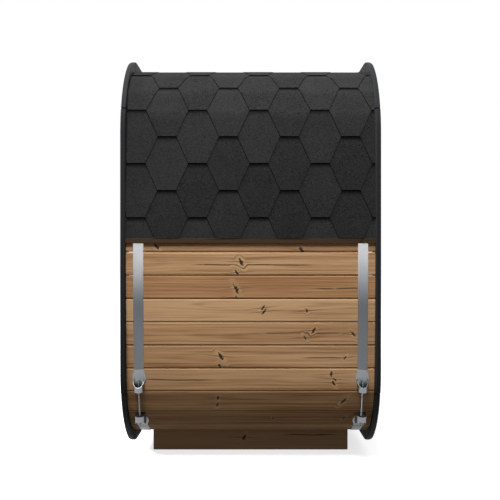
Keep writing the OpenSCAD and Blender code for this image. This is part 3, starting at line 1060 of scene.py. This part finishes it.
def floor_material():
    """Pale floor: rays that show it add a glow, so that it is white and keeps its shadow."""
    skin = bpy.data.materials.new("pale_floor")
    skin.use_nodes = True
    tree = skin.node_tree
    tree.nodes.clear()
    pale = tree.nodes.new("ShaderNodeBsdfDiffuse")
    pale.inputs["Color"].default_value = (0.72, 0.72, 0.72, 1)
    dim = tree.nodes.new("ShaderNodeBsdfDiffuse")
    dim.inputs["Color"].default_value = (0.07, 0.068, 0.065, 1)
    glow = tree.nodes.new("ShaderNodeEmission")
    glow.inputs["Strength"].default_value = 0.72
    lit = tree.nodes.new("ShaderNodeAddShader")
    mix = tree.nodes.new("ShaderNodeMixShader")
    out = tree.nodes.new("ShaderNodeOutputMaterial")
    tree.links.new(pale.outputs[0], lit.inputs[0])
    tree.links.new(glow.outputs[0], lit.inputs[1])
    tree.links.new(seen_rays(tree), mix.inputs[0])
    tree.links.new(dim.outputs[0], mix.inputs[1])
    tree.links.new(lit.outputs[0], mix.inputs[2])
    tree.links.new(mix.outputs[0], out.inputs[0])
    return skin


def set_world(ambient):
    """White where it is seen, and elsewhere an ambient light that grows towards the top."""
    world = bpy.data.worlds.new("studio")
    bpy.context.scene.world = world
    world.use_nodes = True
    tree = world.node_tree
    tree.nodes.clear()
    white = tree.nodes.new("ShaderNodeBackground")
    white.inputs["Color"].default_value = (1, 1, 1, 1)
    sky = tree.nodes.new("ShaderNodeTexCoord")
    height = tree.nodes.new("ShaderNodeSeparateXYZ")
    ramp = tree.nodes.new("ShaderNodeValToRGB")
    ramp.color_ramp.elements[0].color = (0.10, 0.10, 0.105, 1)
    ramp.color_ramp.elements[1].color = (1.0, 1.0, 1.0, 1)
    around = tree.nodes.new("ShaderNodeBackground")
    tree.links.new(sky.outputs["Generated"], height.inputs[0])
    tree.links.new(height.outputs["Z"], ramp.inputs[0])
    tree.links.new(ramp.outputs[0], around.inputs["Color"])
    around.inputs["Strength"].default_value = ambient
    mix = tree.nodes.new("ShaderNodeMixShader")
    out = tree.nodes.new("ShaderNodeOutputWorld")
    tree.links.new(seen_rays(tree), mix.inputs[0])
    tree.links.new(around.outputs[0], mix.inputs[1])
    tree.links.new(white.outputs[0], mix.inputs[2])
    tree.links.new(mix.outputs[0], out.inputs[0])


class MakeStage(bpy.types.Operator):
    """Make the floor, the lamps, the world and the camera."""

    bl_idname = "sauna.make_stage"
    bl_label = "Make stage"

    def execute(self, context):
        settings = stage_settings()
        scene = bpy.context.scene
        half = settings.floor_size / 2
        mesh = bpy.data.meshes.new("studio_floor")
        mesh.from_pydata([(-half, -half, -0.001), (half, -half, -0.001), (half, half, -0.001),
                          (-half, half, -0.001)], [], [(0, 1, 2, 3)])
        floor = bpy.data.objects.new("studio_floor", mesh)
        scene.collection.objects.link(floor)
        mesh.materials.append(floor_material())
        set_world(settings.ambient)
        low, high = CAD_BOX
        rings = [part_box(node) for node in RING_NODES]
        middle = (min(b[0][2] for b in rings) + max(b[1][2] for b in rings)) / 2
        add_lamp("key_lamp", (-1.2, -4.9, 9.0), (0, -0.4, middle), 3.0, 1180, (1.0, 0.985, 0.96))
        add_lamp("side_lamp", (-8.8, -1.8, 5.1), (0, -0.6, high[2] - 0.5), 0.8, 900)
        add_lamp("back_lamp", (4.0, 7.0, 5.0), (0, 0, middle), 4.0, 150, (0.97, 0.985, 1.0))
        lens = bpy.data.cameras.new("camera")
        lens.lens = 50
        lens.sensor_width = 36
        lens.clip_end = 200
        camera = bpy.data.objects.new("camera", lens)
        camera.location = (-settings.camera_left, low[1] - settings.camera_gap,
                           middle + settings.camera_up)
        camera.rotation_euler = (math.pi / 2, 0, 0)
        scene.collection.objects.link(camera)
        scene.camera = camera
        scene.view_settings.view_transform = "Standard"
        return {"FINISHED"}


OPERATORS = (MakeStaves, MakeRoofDeck, MakeShingles, MakeRings, MakeBands, MakeTensioners,
             MakeBase, MakeEndWalls, MakeDoor, MakeStage)


class SaunaPanel(bpy.types.Panel):
    """Lists the steps that make the cabin."""

    bl_label = "Sauna cabin"
    bl_idname = "VIEW3D_PT_sauna"
    bl_space_type = "VIEW_3D"
    bl_region_type = "UI"
    bl_category = "Sauna"

    def draw(self, context):
        for maker in OPERATORS:
            self.layout.operator(maker.bl_idname)
        for group in (sizes(), colours(), stage_settings()):
            box = self.layout.box()
            for key in group.bl_rna.properties.keys():
                if key not in ("rna_type", "name"):
                    box.prop(group, key)


GROUPS = (("cabin_sizes", CabinSizes), ("cabin_colours", CabinColours),
          ("cabin_stage", StageSettings))


def register():
    for maker in (*OPERATORS, SaunaPanel):
        bpy.utils.register_class(maker)
    for name, group in GROUPS:
        bpy.utils.register_class(group)
        setattr(bpy.types.Scene, name, bpy.props.PointerProperty(type=group))


def unregister():
    for name, group in reversed(GROUPS):
        delattr(bpy.types.Scene, name)
        bpy.utils.unregister_class(group)
    for maker in reversed((*OPERATORS, SaunaPanel)):
        bpy.utils.unregister_class(maker)


def main():
    register()
    for maker in OPERATORS:
        family, step = maker.bl_idname.split(".")
        getattr(getattr(bpy.ops, family), step)()


if __name__ == "__main__":
    main()
